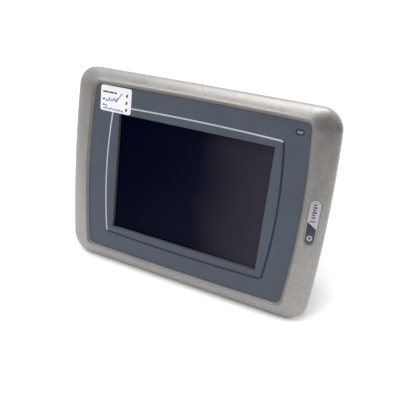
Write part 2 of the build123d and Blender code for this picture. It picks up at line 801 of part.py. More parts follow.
def rear_case():
    case = case_shell()
    for x in (-COVER_SCREWS[0], COVER_SCREWS[0]):
        for z in (-COVER_SCREWS[1], COVER_SCREWS[1]):
            place = (COVER_X + x, CASE_D - CASE_WALL, COVER_Z + z)
            case = case + rod(3.0, place, 4.0, (0, -1, 0))
            case = case - rod(M3_PILOT_R, (place[0], CASE_D + 1, place[2]), 8.0, (0, -1, 0))
    opening = Pos(COVER_X, COVER_Z) * RectangleRounded(COVER_W - 24, COVER_H - 12, 2.0)
    case = case - slab(opening, CASE_D + 1, CASE_D - CASE_WALL - 1)
    for x, z in POSTS:
        case = case - rod(M4_CLEAR_R, (x, CASE_D - 3, z), 5.0, (0, 1, 0))
    hole_y = (CLAMP_TAB_Y[0] - CLAMP_TAB_GAP, CLAMP_TAB_Y[1] + CLAMP_TAB_GAP)
    for x in (-CLAMP_X, CLAMP_X):
        for side in (-1, 1):
            wall = (side * (CASE_H / 2 - 3), side * (CASE_H / 2 + 1))
            case = case - block(around(x, CLAMP_TAB_W + 2 * CLAMP_TAB_GAP), hole_y, wall)
    for cut in vents() + bay_cutouts() + side_cutouts():
        case = case - cut
    return case


def case_posts():
    pieces = []
    for x, z in POSTS:
        end = CASE_D - CASE_WALL
        bar = hex_bar(POST_FLATS, (x, SEAT_Y, z), end - SEAT_Y, (0, 1, 0))
        bar = bar + rod(M3_R, (x, -POST_STUD, z), POST_STUD, (0, 1, 0))
        pieces.append(bar - rod(M4_R, (x, end - 9.5, z), 10.0, (0, 1, 0)))
    return group(pieces)


def case_screws():
    pieces = []
    for x, z in POSTS:
        head = rod(3.6, (x, CASE_D, z), 2.4, (0, 1, 0))
        head = fillet(head.edges().sort_by(Axis.Y)[-1], 0.9)
        for size in ((4.2, 1.0), (1.0, 4.2)):
            head = head - block(around(x, size[0]), (CASE_D + 1.2, CASE_D + 3), around(z, size[1]))
        pieces.append(head + rod(M4_SHANK_R, (x, CASE_D - 10, z), 10.0, (0, 1, 0)))
    return group(pieces)


def expansion_cover():
    outline = Pos(COVER_X, COVER_Z) * RectangleRounded(COVER_W, COVER_H, 3.0)
    cover = slab(outline, CASE_D + COVER_T, CASE_D)
    for x in (-COVER_SCREWS[0], COVER_SCREWS[0]):
        for z in (-COVER_SCREWS[1], COVER_SCREWS[1]):
            cover = cover - rod(M3_CLEAR_R, (COVER_X + x, CASE_D - 1, COVER_Z + z), 4.0, (0, 1, 0))
    return cover


def rating_label():
    outline = Pos(RATING_X, RATING_Z) * RectangleRounded(RATING_W, RATING_H, RATING_R)
    return slab(outline, CASE_D + RATING_T, CASE_D)


# ---------------------------------------------------------------- clamps


def clamp_bracket(x, side):
    """Bracket that hooks into the case's top or bottom wall and carries a screw."""
    wall = CASE_H / 2
    base = block(around(x, CLAMP_W), (CLAMP_Y, CLAMP_BACK_Y), (side * wall, side * (wall + CLAMP_PLATE)))
    ear = block(around(x, CLAMP_W), (CLAMP_BACK_Y - 2, CLAMP_BACK_Y), (side * wall, side * CLAMP_REACH))
    tab = block(around(x, CLAMP_TAB_W), CLAMP_TAB_Y, (side * (wall + 0.5), side * (wall - 3.5)))
    hook_y = (CLAMP_TAB_Y[0] - 3.4, CLAMP_TAB_Y[1])
    hook = block(around(x, CLAMP_TAB_W), hook_y, (side * (wall - 3.5), side * (wall - 2.0)))
    bracket = base + ear + tab + hook
    for edge in (-1, 1):
        rib = block(
            around(x + edge * (CLAMP_W / 2 - 0.6), 1.2), (11.5, CLAMP_BACK_Y - 1),
            (side * wall, side * (wall + 4.0)),
        )
        bracket = bracket + rib
    hole = rod(CLAMP_SCREW_R + FIT, (x, CLAMP_BACK_Y - 4, side * CLAMP_AXIS), 6.0, (0, 1, 0))
    return bracket - hole


def clamp_places():
    """Middle of each clamp along X, with the side of the case that it is on."""
    return [(-CLAMP_X, 1), (CLAMP_X, 1), (-CLAMP_X, -1), (CLAMP_X, -1)]


def clamp_brackets():
    return group([clamp_bracket(x, side) for x, side in clamp_places()])


def clamp_foot(x, side):
    """Round pad that bears on the back of the cabinet wall."""
    z = side * CLAMP_AXIS
    pad = rod(FOOT_R, (x, FOOT_Y, z), FOOT_T, (0, 1, 0))
    pad = chamfer(pad.edges().sort_by(Axis.Y)[0], 0.4)
    return pad - rod(CLAMP_TIP_R + FIT, (x, FOOT_Y + 0.8, z), FOOT_T, (0, 1, 0))


def clamp_screw(x, side):
    """Headless screw with a round tip that turns in the foot and a slot at its rear end."""
    z = side * CLAMP_AXIS
    start = FOOT_Y + FOOT_T + 0.3
    tip = rod(CLAMP_TIP_R, (x, FOOT_Y + 1.0, z), FOOT_T, (0, 1, 0))
    body = rod(CLAMP_SCREW_R, (x, start, z), CLAMP_SCREW_L, (0, 1, 0))
    end = start + CLAMP_SCREW_L
    slot = block(around(x, 4.0), (end - 1.2, end + 1), around(z, 0.6))
    return body + tip - slot


PARTS = {
    "front_frame": front_frame,
    "front_gasket": front_gasket,
    "front_overlay": front_overlay,
    "name_badge": name_badge,
    "service_label": service_label,
    "led_light_pipe": led_light_pipe,
    "status_led": status_led,
    "touch_seal": touch_seal,
    "touch_glass": touch_glass,
    "touch_tail": touch_tail,
    "lcd_bezel": lcd_bezel,
    "lcd_glass": lcd_glass,
    "lcd_backlight": lcd_backlight,
    "lcd_bracket": lcd_bracket,
    "display_flex": display_flex,
    "backlight_inverter": backlight_inverter,
    "board_standoffs": board_standoffs,
    "main_board": main_board,
    "processor_chip": processor_chip,
    "memory_chips": memory_chips,
    "capacitors": capacitors,
    "battery_holder": battery_holder,
    "coin_cell": coin_cell,
    "m3_screws": m3_screws,
    "serial_port_25": serial_port_25,
    "serial_port_9": serial_port_9,
    "jack_nuts": jack_nuts,
    "ethernet_jack": ethernet_jack,
    "usb_host_port": usb_host_port,
    "usb_device_port": usb_device_port,
    "power_header": power_header,
    "power_plug": power_plug,
    "earth_stud": earth_stud,
    "earth_nut": earth_nut,
    "card_slot": card_slot,
    "card_eject_button": card_eject_button,
    "card_eject_arm": card_eject_arm,
    "mode_switch": mode_switch,
    "rear_case": rear_case,
    "case_posts": case_posts,
    "case_screws": case_screws,
    "expansion_cover": expansion_cover,
    "rating_label": rating_label,
    "clamp_brackets": clamp_brackets,
}


def main():
    os.makedirs("parts", exist_ok=True)
    shapes = {name: make() for name, make in PARTS.items()}
    for i, x in enumerate(pole_places()):
        shapes[f"power_plug_screw_{i + 1}"] = power_plug_screw(x)
    for i in range(4):
        shapes[f"mode_slider_{i + 1}"] = mode_slider(i)
    for i, (x, side) in enumerate(clamp_places()):
        shapes[f"clamp_screw_{i + 1}"] = clamp_screw(x, side)
        shapes[f"clamp_foot_{i + 1}"] = clamp_foot(x, side)
    for name, shape in shapes.items():
        export_step(shape, f"parts/{name}.step")


main()
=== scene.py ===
import json
import math
import bpy
import bmesh
from mathutils import Matrix, Vector


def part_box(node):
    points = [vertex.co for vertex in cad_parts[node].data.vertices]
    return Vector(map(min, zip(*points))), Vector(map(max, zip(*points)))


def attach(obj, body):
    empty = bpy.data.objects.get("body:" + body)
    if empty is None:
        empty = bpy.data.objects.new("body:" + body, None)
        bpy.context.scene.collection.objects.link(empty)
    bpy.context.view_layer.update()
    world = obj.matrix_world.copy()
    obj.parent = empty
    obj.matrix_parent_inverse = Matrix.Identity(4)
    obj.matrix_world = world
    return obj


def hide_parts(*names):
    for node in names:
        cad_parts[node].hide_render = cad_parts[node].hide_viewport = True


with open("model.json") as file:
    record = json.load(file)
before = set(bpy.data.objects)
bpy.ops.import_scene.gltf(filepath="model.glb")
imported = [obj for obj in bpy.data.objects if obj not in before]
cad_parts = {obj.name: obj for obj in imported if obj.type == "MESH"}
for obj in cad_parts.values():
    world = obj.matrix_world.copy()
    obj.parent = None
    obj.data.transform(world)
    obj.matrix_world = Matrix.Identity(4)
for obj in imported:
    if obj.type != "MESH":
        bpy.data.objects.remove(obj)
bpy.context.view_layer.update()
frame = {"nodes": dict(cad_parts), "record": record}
nodes = frame["nodes"]
scene = bpy.context.scene
MM = 0.001

# Sizes in metres. What the CAD nodes can tell is measured on them.
frame_low, frame_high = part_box("front_frame")
film_low, film_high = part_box("front_overlay")
case_low, case_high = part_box("rear_case")
lamp_low, lamp_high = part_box("led_light_pipe")
plate_low, plate_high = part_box("rating_label")
label_low, label_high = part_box("service_label")
lamp = (lamp_low + lamp_high) / 2
GLASS_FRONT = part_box("touch_glass")[0].y
FRONT_W = frame_high.x - frame_low.x
FRONT_H = frame_high.z - frame_low.z
FILM_W = film_high.x - film_low.x
FILM_H = film_high.z - film_low.z
FILM_FRONT = film_low.y
FILM_BACK = film_high.y
FRONT_BOW = (2.9 * MM, 0.3 * MM)
FRONT_R = 14 * MM
FILM_BOW = (3.6 * MM, 1.0 * MM)
FILM_R = 3.5 * MM
FILM_GAP = 0.35 * MM
FILM_EDGE = 0.06 * MM
FILM_WINDOW_R = 0.25 * MM
WINDOW_W = 119.6 * MM
WINDOW_H = 89.6 * MM
WINDOW_R = 0.3 * MM
LIP = 1.9 * MM
LAND = 0.4 * MM
CAST_EDGE = 0.2 * MM

# The dome's height follows a power curve that is rounded at its foot, in steps that crowd towards the foot.
DOME_POWER = 1.25
DOME_ROUND = 0.7
DOME_STEPS = 26
DOME_CROWDING = 1.8

# Depths of the casting's edge, crest, lip, back and gasket groove; the mounting face is at 0.
EDGE_Y = -4.2 * MM
CREST_Y = -9.7 * MM
LIP_Y = -8.3 * MM
SEAT_Y = -0.5 * MM
GROOVE_Y = -1.2 * MM

# What lies in the casting's back and front: gasket groove, glass pocket and lamp hole.
GROOVE_W = 193 * MM
GROOVE_H = 141 * MM
GROOVE_R = 10 * MM
GROOVE_BAND = 3 * MM
GLASS_POCKET = (134 * MM, 104 * MM, 0.5 * MM)
SEAL_T = 0.3 * MM
WEB_Y = GLASS_FRONT - SEAL_T
LAMP_GAP = 0.7 * MM
LAMP_W = 4.3 * MM
LAMP_H = 2.2 * MM
LAMP_CUT = 1 * MM

# The badge lies in a sloping recess on the right-hand rim.
BADGE_L = 31.7 * MM
BADGE_W = 7.3 * MM
BADGE_T = 0.9 * MM
BADGE_GAP = 0.4 * MM
BADGE_CUT = 3 * MM
BADGE_TILT = math.radians(14)
BADGE_AT = Vector((92.4 * MM, -7.6 * MM, 0.6 * MM))
BADGE_FRAME = Matrix.Translation(BADGE_AT) @ Matrix.Rotation(BADGE_TILT, 4, "Z")

# Points along each side and round each corner of an outline.
SIDE, CORNER = 48, 16


# ---------------------------------------------------------------- meshes


def outline(width, height, bow=(0.0, 0.0), radius=0.3 * MM, side=SIDE):
    """Points (x, z) round a rectangle with round corners and sides that bow outwards.

    They run anticlockwise from the middle of the right side.
    """
    a = width / 2 - bow[0]
    b = height / 2 - bow[1]
    half = side // 2
    points = []

    def run(start, end, count):
        for i in range(count):
            points.append(Vector(start).lerp(Vector(end), i / count))

    def turn(x, z, first):
        for i in range(CORNER):
            angle = math.radians(first + 90 * i / CORNER)
            points.append(Vector((x + radius * math.cos(angle), z + radius * math.sin(angle))))

    run((a, 0), (a, b - radius), half)
    turn(a - radius, b - radius, 0)
    run((a - radius, b), (-a + radius, b), side)
    turn(-a + radius, b - radius, 90)
    run((-a, b - radius), (-a, -b + radius), side)
    turn(-a + radius, -b + radius, 180)
    run((-a + radius, -b), (a - radius, -b), side)
    turn(a - radius, -b + radius, 270)
    run((a, -b + radius), (a, 0), half)
    for p in points:
        x, z = p
        p.x = x + bow[0] * (x / a) * (1 - (z / b) ** 2)
        p.y = z + bow[1] * (z / b) * (1 - (x / a) ** 2)
    return points


def pill(x, z, width, height, steps=24):
    """Points round a slot shape with round ends, longer along X or along Z."""
    radius = min(width, height) / 2
    reach_x = width / 2 - radius
    reach_z = height / 2 - radius
    points = []
    for i in range(4 * steps):
        angle = 2 * math.pi * (i + 0.5) / (4 * steps)
        side_x = math.copysign(reach_x, math.cos(angle))
        side_z = math.copysign(reach_z, math.sin(angle))
        round_x = radius * math.cos(angle)
        round_z = radius * math.sin(angle)
        points.append(Vector((x + side_x + round_x, z + side_z + round_z)))
    return points


def add(name, mesh, material, body, replaces=(), second=None):
    """Puts a finished mesh in the scene as a piece. Faces with material index 1 get the second material."""
    mesh.name = name
    piece = bpy.data.objects.new(name, mesh)
    scene.collection.objects.link(piece)
    indices = [face.material_index for face in mesh.polygons]
    mesh.materials.clear()
    mesh.materials.append(material)
    if second:
        mesh.materials.append(second)
        mesh.polygons.foreach_set("material_index", indices)
    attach(piece, body)
    if replaces:
        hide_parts(*replaces)


def smooth(mesh, angle=35):
    """Smooth shading with hard edges where faces meet at more than an angle."""
    mesh.polygons.foreach_set("use_smooth", [True] * len(mesh.polygons))
    mesh.set_sharp_from_angle(angle=math.radians(angle))
    return mesh


def skin(rings, closed=True):
    """Mesh of quads between rings of equally many points; the last ring joins the first if closed."""
    count = len(rings[0])
    vertices = [point for ring in rings for point in ring]
    faces = []
    spans = len(rings) if closed else len(rings) - 1
    for k in range(spans):
        here = k * count
        there = (k + 1) % len(rings) * count
        for i in range(count):
            j = (i + 1) % count
            faces.append((here + i, here + j, there + j, there + i))
    if not closed:
        faces.append(tuple(range(count)))
        faces.append(tuple(range((len(rings) - 1) * count, len(rings) * count)))
    mesh = bpy.data.meshes.new("skin")
    mesh.from_pydata([tuple(v) for v in vertices], [], faces)
    work = bmesh.new()
    work.from_mesh(mesh)
    bmesh.ops.recalc_face_normals(work, faces=work.faces)
    work.to_mesh(mesh)
    work.free()
    return mesh


def applied(shape, *modifiers):
    """Mesh of a mesh or curve with modifiers applied. Each is a type and its settings."""
    holder = bpy.data.objects.new("holder", shape)
    scene.collection.objects.link(holder)
    for kind, settings in modifiers:
        modifier = holder.modifiers.new(kind, kind)
        for key, value in settings.items():
            setattr(modifier, key, value)
    graph = bpy.context.evaluated_depsgraph_get()
    result = bpy.data.meshes.new_from_object(holder.evaluated_get(graph))
    bpy.data.objects.remove(holder)
    return result


def at_depth(points, y):
    """Points (x, z) placed at one depth."""
    return [Vector((p.x, y, p.y)) for p in points]


def bevelled(mesh, width, angle):
    """The mesh with a round edge wherever faces meet at more than an angle."""
    return applied(mesh, ("BEVEL", {
        "width": width, "segments": 3, "limit_method": "ANGLE", "angle_limit": math.radians(angle),
    }))


def plate(outlines, back, front, edge):
    """Flat mesh cut to outlines in X and Z, between two depths, with a rounded edge."""
    curve = bpy.data.curves.new("plate", "CURVE")
    curve.dimensions = "2D"
    curve.fill_mode = "BOTH"
    curve.extrude = (back - front) / 2 - edge
    curve.bevel_depth = edge
    curve.bevel_resolution = 3
    curve.offset = -edge
    for points in outlines:
        spline = curve.splines.new("POLY")
        spline.points.add(len(points) - 1)
        for place, p in zip(spline.points, points):
            place.co = (p.x, p.y, 0, 1)
        spline.use_cyclic_u = True
    mesh = applied(curve)
    upright = Matrix(((1, 0, 0, 0), (0, 0, -1, (back + front) / 2), (0, 1, 0, 0), (0, 0, 0, 1)))
    mesh.transform(upright)
    work = bmesh.new()
    work.from_mesh(mesh)
    bmesh.ops.remove_doubles(work, verts=work.verts, dist=1e-7)
    bmesh.ops.recalc_face_normals(work, faces=work.faces)
    work.to_mesh(mesh)
    work.free()
    return smooth(mesh)


# ---------------------------------------------------------------- materials


def shader(name, color, roughness, metallic=0.0, **sockets):
    """New material with its plain values set on the shader itself."""
    material = bpy.data.materials.new(name)
    material.use_nodes = True
    surface = material.node_tree.nodes["Principled BSDF"]
    surface.inputs["Base Color"].default_value = (*color, 1.0)
    surface.inputs["Roughness"].default_value = roughness
    surface.inputs["Metallic"].default_value = metallic
    for key, value in sockets.items():
        surface.inputs[key.replace("_", " ")].default_value = value
    return material


def node(material, kind, **settings):
    """New node in a material's or a world's tree."""
    made = material.node_tree.nodes.new(kind)
    for key, value in settings.items():
        setattr(made, key, value)
    return made


def link(material, source, target):
    """Joins an output to an input."""
    material.node_tree.links.new(source, target)


def surface_of(material):
    """The material's shader node."""
    return material.node_tree.nodes["Principled BSDF"]


def noise(material, size, detail=2.0, stretch=(1.0, 1.0, 1.0), kind="ShaderNodeTexNoise"):
    """Noise whose features are about size metres across."""
    place = node(material, "ShaderNodeTexCoord")
    mapping = node(material, "ShaderNodeMapping")
    mapping.inputs["Scale"].default_value = stretch
    texture = node(material, kind)
    texture.inputs["Scale"].default_value = 1 / size
    if "Detail" in texture.inputs:
        texture.inputs["Detail"].default_value = detail
    link(material, place.outputs["Object"], mapping.inputs["Vector"])
    link(material, mapping.outputs["Vector"], texture.inputs["Vector"])
    return texture.outputs["Fac"] if "Fac" in texture.outputs else texture.outputs["Distance"]


def spread(material, value, low, high, start=0.3, stop=0.7):
    """Maps a noise onto a range of numbers."""
    ramp = node(material, "ShaderNodeMapRange")
    ramp.inputs["From Min"].default_value = start
    ramp.inputs["From Max"].default_value = stop
    ramp.inputs["To Min"].default_value = low
    ramp.inputs["To Max"].default_value = high
    link(material, value, ramp.inputs["Value"])
    return ramp.outputs["Result"]


def colors(material, value, stops):
    """Maps a noise onto colours. Each stop is a place from 0 to 1 and a colour."""
    ramp = node(material, "ShaderNodeValToRGB")
    band = ramp.color_ramp
    while len(band.elements) < len(stops):
        band.elements.new(0.5)
    for element, (place, color) in zip(band.elements, stops):
        element.position = place
        element.color = (*color, 1.0)
    link(material, value, ramp.inputs["Fac"])
    return ramp.outputs["Color"]


def bump(material, height, distance):
    """Adds relief to a material, on top of any that it has."""
    relief = node(material, "ShaderNodeBump")
    relief.inputs["Distance"].default_value = distance
    link(material, height, relief.inputs["Height"])
    target = surface_of(material).inputs["Normal"]
    if target.links:
        link(material, target.links[0].from_socket, relief.inputs["Normal"])
    link(material, relief.outputs["Normal"], target)


def shade(color, factor):
    """The colour made lighter or darker by a factor."""
    return tuple(min(1.0, c * factor) for c in color)


# How every textured material varies: its slow changes' size, its grain's detail, its swing of tone and gloss.
SLOW_SIZE = 14 * MM
FINE_DETAIL = 3.0
TONE_SWING = 0.25
GLOSS_SWING = 0.05


def textured(name, color, roughness, metallic=0.0, grain=0.3 * MM, relief=0.01 * MM, contrast=0.08,
             wander=0.05, stretch=(1.0, 1.0, 1.0), **sockets):
    """Material with a fine grain in its relief, and slow changes of tone and roughness."""
    material = shader(name, color, roughness, metallic, **sockets)
    fine = noise(material, grain, FINE_DETAIL, stretch)
    slow = noise(material, SLOW_SIZE)
    both = node(material, "ShaderNodeMath", operation="ADD")
    link(material, spread(material, fine, -contrast, contrast), both.inputs[0])
    link(material, spread(material, slow, 0.5 - wander, 0.5 + wander), both.inputs[1])
    dark, light = shade(color, 1 - TONE_SWING), shade(color, 1 + TONE_SWING)
    tone = colors(material, both.outputs["Value"], [(0.3, dark), (0.7, light)])
    gloss = spread(material, slow, roughness - GLOSS_SWING, roughness + GLOSS_SWING)
    surface = surface_of(material)
    link(material, tone, surface.inputs["Base Color"])
    link(material, gloss, surface.inputs["Roughness"])
    bump(material, fine, relief)
    return material


SPECK = 0.7 * MM


def powder_coat():
    """Silver powder coat: metallic, with fine bright and dark specks and an orange-peel relief."""
    material = textured("silver_paint", (0.315, 0.30, 0.29), 0.4, 0.95, grain=SPECK, relief=0.035 * MM,
                        contrast=0.17)
    bump(material, noise(material, SPECK, kind="ShaderNodeTexVoronoi"), 0.025 * MM)
    return material


def screen_glass():
    """Unlit screen: deep blue that turns to a warm dark grey towards its right side; that lighter right side
    is a painted reflection.
    """
    material = shader("screen", (0.002, 0.003, 0.012), 0.16, IOR=1.35, Specular_IOR_Level=0.04)
    place = node(material, "ShaderNodeTexCoord")
    split = node(material, "ShaderNodeSeparateXYZ")
    link(material, place.outputs["Object"], split.inputs["Vector"])
    across = spread(material, split.outputs["X"], 0.0, 1.0, -WINDOW_W / 2, WINDOW_W / 2)
    wobble = spread(material, noise(material, 60 * MM, 1.0), -0.05, 0.05)
    shift = node(material, "ShaderNodeMath", operation="ADD")
    link(material, across, shift.inputs[0])
    link(material, wobble, shift.inputs[1])
    # Painted reflection: the colour stops turn lighter and warmer towards the right side.
    tone = colors(material, shift.outputs["Value"], [
        (0.1, (0.0006, 0.0012, 0.009)),
        (0.55, (0.003, 0.0035, 0.013)),
        (0.78, (0.021, 0.020, 0.028)),
        (1.0, (0.032, 0.031, 0.042)),
    ])
    link(material, tone, surface_of(material).inputs["Base Color"])
    bump(material, noise(material, 0.25 * MM), 0.0006 * MM)
    return material


silver_paint = powder_coat()
# Painted shade: a darker, duller copy of the silver paint for the lip, the film's pocket and the badge's
# recess, where shade falls.
lip_painted_shade = textured("lip_painted_shade", (0.20, 0.185, 0.18), 0.5, 0.3, grain=SPECK, relief=0.02 * MM,
                     contrast=0.1)
# Painted shade: a dark grey for the lining of the window's reveal wall, which is silver paint in shade.
reveal_painted_shade = textured("reveal_painted_shade", (0.075, 0.072, 0.078), 0.6, grain=0.3 * MM, relief=0.01 * MM)
film_ink = textured("film_ink", (0.060, 0.0745, 0.100), 0.55, grain=0.25 * MM, relief=0.006 * MM,
                    contrast=0.05, Specular_IOR_Level=0.35)
light_ink = textured("light_ink", (0.42, 0.46, 0.48), 0.5, grain=0.3 * MM, relief=0.004 * MM, contrast=0.04)
dark_ink = textured("dark_ink", (0.004, 0.005, 0.02), 0.6, grain=0.3 * MM, relief=0.004 * MM, contrast=0.04)
screen = screen_glass()
black_foam = textured("black_foam", (0.015, 0.015, 0.015), 0.85, grain=0.6 * MM, relief=0.08 * MM,
                      contrast=0.2)
paper = textured("paper", (0.9, 0.9, 0.92), 0.7, grain=0.15 * MM, relief=0.006 * MM, contrast=0.02)
pen_ink = textured("pen_ink", (0.07, 0.07, 0.42), 0.5, grain=0.4 * MM, relief=0.002 * MM, contrast=0.2)
dark_print = textured("dark_print", (0.02, 0.02, 0.03), 0.6, grain=0.2 * MM, relief=0.002 * MM,
                      contrast=0.15)
badge_silver = textured("badge_silver", (0.4, 0.4, 0.43), 0.3, 0.3, grain=0.4 * MM, relief=0.003 * MM,
                        contrast=0.06, Coat_Weight=0.6, Coat_Roughness=0.08)
badge_dark = textured("badge_dark", (0.018, 0.02, 0.032), 0.35, grain=0.4 * MM, relief=0.002 * MM,
                      Coat_Weight=0.6, Coat_Roughness=0.08)
badge_red = textured("badge_red", (0.42, 0.03, 0.045), 0.35, grain=0.4 * MM, relief=0.002 * MM,
                     Coat_Weight=0.6, Coat_Roughness=0.08)
lamp_lens = textured("lamp_lens", (0.17, 0.18, 0.175), 0.3, grain=0.3 * MM, relief=0.004 * MM)
case_paint = textured("case_paint", (0.15, 0.155, 0.16), 0.5, 0.1, grain=0.5 * MM, relief=0.04 * MM,
                      contrast=0.14)
zinc = textured("zinc", (0.55, 0.56, 0.58), 0.34, 1.0, grain=0.5 * MM, relief=0.006 * MM, contrast=0.14)
bright_steel = textured("bright_steel", (0.66, 0.66, 0.65), 0.24, 1.0, grain=0.6 * MM, relief=0.004 * MM,
                        contrast=0.1, stretch=(1, 1, 9))
black_plastic = textured("black_plastic", (0.018, 0.018, 0.02), 0.5, grain=0.2 * MM, relief=0.01 * MM)
green_plastic = textured("green_plastic", (0.02, 0.22, 0.08), 0.45, grain=0.3 * MM, relief=0.008 * MM)
blue_plastic = textured("blue_plastic", (0.02, 0.06, 0.28), 0.4, grain=0.3 * MM, relief=0.008 * MM)
white_plastic = textured("white_plastic", (0.75, 0.75, 0.72), 0.4, grain=0.3 * MM, relief=0.006 * MM)
brass = textured("brass", (0.72, 0.5, 0.2), 0.3, 1.0, grain=0.4 * MM, relief=0.004 * MM)
green_board = textured("green_board", (0.01, 0.11, 0.045), 0.35, grain=0.5 * MM, relief=0.01 * MM,
                       contrast=0.15)
amber_flex = textured("amber_flex", (0.35, 0.15, 0.03), 0.3, grain=0.5 * MM, relief=0.01 * MM)
foil = textured("foil", (0.6, 0.6, 0.62), 0.38, 0.9, grain=0.3 * MM, relief=0.004 * MM, stretch=(1, 1, 12))

SLOT_MATERIALS = {
    "silver_paint": silver_paint, "grey_film": film_ink, "badge": badge_silver, "label_paper": paper,
    "clear_plastic": lamp_lens, "lamp": green_plastic, "gasket_rubber": black_foam,
    "screen_glass": screen, "amber_flex": amber_flex, "bright_steel": bright_steel, "zinc_steel": zinc,
    "white_plastic": white_plastic, "circuit_board": green_board, "brass_part": brass,
    "black_plastic": black_plastic, "capacitor_can": foil, "green_plastic": green_plastic,
    "switch_plastic": blue_plastic, "case_paint": case_paint, "label_foil": foil,
}
slot_of = {part["node"]: part["material_slot"] for part in frame["record"]["subparts"]}
body_of = {name: body for body, names in frame["record"]["behaviour"]["bodies"].items() for name in names}
for name, slot in slot_of.items():
    carried = nodes[name].data
    carried.materials.clear()
    carried.materials.append(SLOT_MATERIALS[slot])


# ---------------------------------------------------------------- front frame


def film_ring(margin, y):
    """Ring that follows the film's outline, grown by a margin."""
    ring = outline(FILM_W + 2 * margin, FILM_H + 2 * margin, FILM_BOW, FILM_R + margin)
    return at_depth(ring, y)


def front_ring(share, y):
    """Ring a share of the way from the frame's edge to its crest."""
    margin = FILM_GAP + LIP + LAND
    width = FRONT_W + (FILM_W + 2 * margin - FRONT_W) * share
    height = FRONT_H + (FILM_H + 2 * margin - FRONT_H) * share
    bow = tuple(a + (b - a) * share for a, b in zip(FRONT_BOW, FILM_BOW))
    radius = FRONT_R + (FILM_R + margin - FRONT_R) * share
    return at_depth(outline(width, height, bow, radius), y)


def box_ring(width, height, radius, y):
    """Ring of a plain rectangle with round corners."""
    return at_depth(outline(width, height, (0.0, 0.0), radius), y)


def outside_film(x, z):
    """Distance of a point outside the film's outline, negative within it."""
    half_w = FILM_W / 2 - FILM_BOW[0]
    half_h = FILM_H / 2 - FILM_BOW[1]
    past_x = abs(x) - half_w - FILM_BOW[0] * (1 - (z / half_h) ** 2) + FILM_R
    past_z = abs(z) - half_h - FILM_BOW[1] * (1 - (x / half_w) ** 2) + FILM_R
    return math.hypot(max(past_x, 0), max(past_z, 0)) + min(max(past_x, past_z), 0) - FILM_R


# Slack for telling the casting's faces apart by where their middles lie.
UNDER_FILM = 0.5 * MM
HAIR = 0.05 * MM
FLAT = 0.01 * MM


def mark_hollows(mesh):
    """Gives the lip, the film's pocket and the badge's recess the second material, a darker copy of the
    silver paint that is painted shade in these hollows.
    """
    near, far, deep = FILM_GAP - UNDER_FILM, FILM_GAP + LIP - HAIR, FILM_BACK + HAIR
    to_badge = BADGE_FRAME.inverted()
    for face in mesh.polygons:
        x, y, z = face.center
        on_lip = y < deep and near < outside_film(x, z) < far
        across, depth, along = to_badge @ face.center
        in_recess = abs(depth) < FLAT and abs(across) < BADGE_W and abs(along) < BADGE_L
        if on_lip or in_recess:
            face.material_index = 1


def lamp_outline():
    """Outline of the hole for the lamp, the same in the casting and in the film."""
    return pill(lamp.x, lamp.z, LAMP_W + 2 * LAMP_GAP, LAMP_H + 2 * LAMP_GAP)


def frame_casting():
    """The cast front: domed rim, lip, film pocket, window and the groove on its back."""
    inner_w, inner_h = GROOVE_W - 2 * GROOVE_BAND, GROOVE_H - 2 * GROOVE_BAND
    inner_r = GROOVE_R - GROOVE_BAND
    rings = [front_ring(0, 0.0), front_ring(0, EDGE_Y)]
    for i in range(1, DOME_STEPS + 1):
        share = (i / DOME_STEPS) ** DOME_CROWDING
        rise = (1 - (1 - share) ** DOME_POWER) ** DOME_ROUND
        rings.append(front_ring(share, EDGE_Y + (CREST_Y - EDGE_Y) * rise))
    rings.append(film_ring(FILM_GAP + LIP, CREST_Y))
    rings.append(film_ring(FILM_GAP, LIP_Y))
    rings.append(film_ring(FILM_GAP, FILM_BACK))
    rings.append(box_ring(WINDOW_W, WINDOW_H, WINDOW_R, FILM_BACK))
    rings.append(box_ring(WINDOW_W, WINDOW_H, WINDOW_R, WEB_Y))
    rings.append(box_ring(*GLASS_POCKET, WEB_Y))
    rings.append(box_ring(*GLASS_POCKET, SEAT_Y))
    rings.append(box_ring(inner_w, inner_h, inner_r, SEAT_Y))
    rings.append(box_ring(inner_w, inner_h, inner_r, GROOVE_Y))
    rings.append(box_ring(GROOVE_W, GROOVE_H, GROOVE_R, GROOVE_Y))
    rings.append(box_ring(GROOVE_W, GROOVE_H, GROOVE_R, 0.0))
    mesh = bevelled(skin(rings), CAST_EDGE, 20)
    recess = plate([pill(0, 0, BADGE_W + 2 * BADGE_GAP, BADGE_L + 2 * BADGE_GAP)], 0.0, -BADGE_CUT, 0.0)
    recess.transform(BADGE_FRAME)
    lamp_hole = plate([lamp_outline()], LAMP_CUT, CREST_Y, 0.0)
    for shape in (recess, lamp_hole):
        cutter = bpy.data.objects.new("cutter", shape)
        scene.collection.objects.link(cutter)
        mesh = applied(mesh, ("BOOLEAN", {"object": cutter, "operation": "DIFFERENCE", "solver": "EXACT"}))
        bpy.data.objects.remove(cutter)
    mark_hollows(mesh)
    return smooth(mesh, 30)


# The second material is painted shade on the lip, the film's pocket and the badge's recess.
add("frame_casting", frame_casting(), silver_paint, "root", ["front_frame"], lip_painted_shade)

# ---------------------------------------------------------------- film, printed line, lamp

film_cut = [
    outline(FILM_W, FILM_H, FILM_BOW, FILM_R),
    outline(WINDOW_W, WINDOW_H, radius=FILM_WINDOW_R),
    lamp_outline(),
]
film = plate(film_cut, FILM_BACK, FILM_FRONT, FILM_EDGE)
add("film", film, film_ink, "root", ["front_overlay"])

LINE_W = 136.6 * MM
LINE_H = 101.4 * MM
LINE_BOW = (3.4 * MM, 1.2 * MM)
LINE_R = 2.4 * MM
LINE_T = 0.05 * MM
LINE_BEVEL = 0.04 * MM
LIGHT_LINE = 1.1 * MM
DARK_LINE = 1.5 * MM


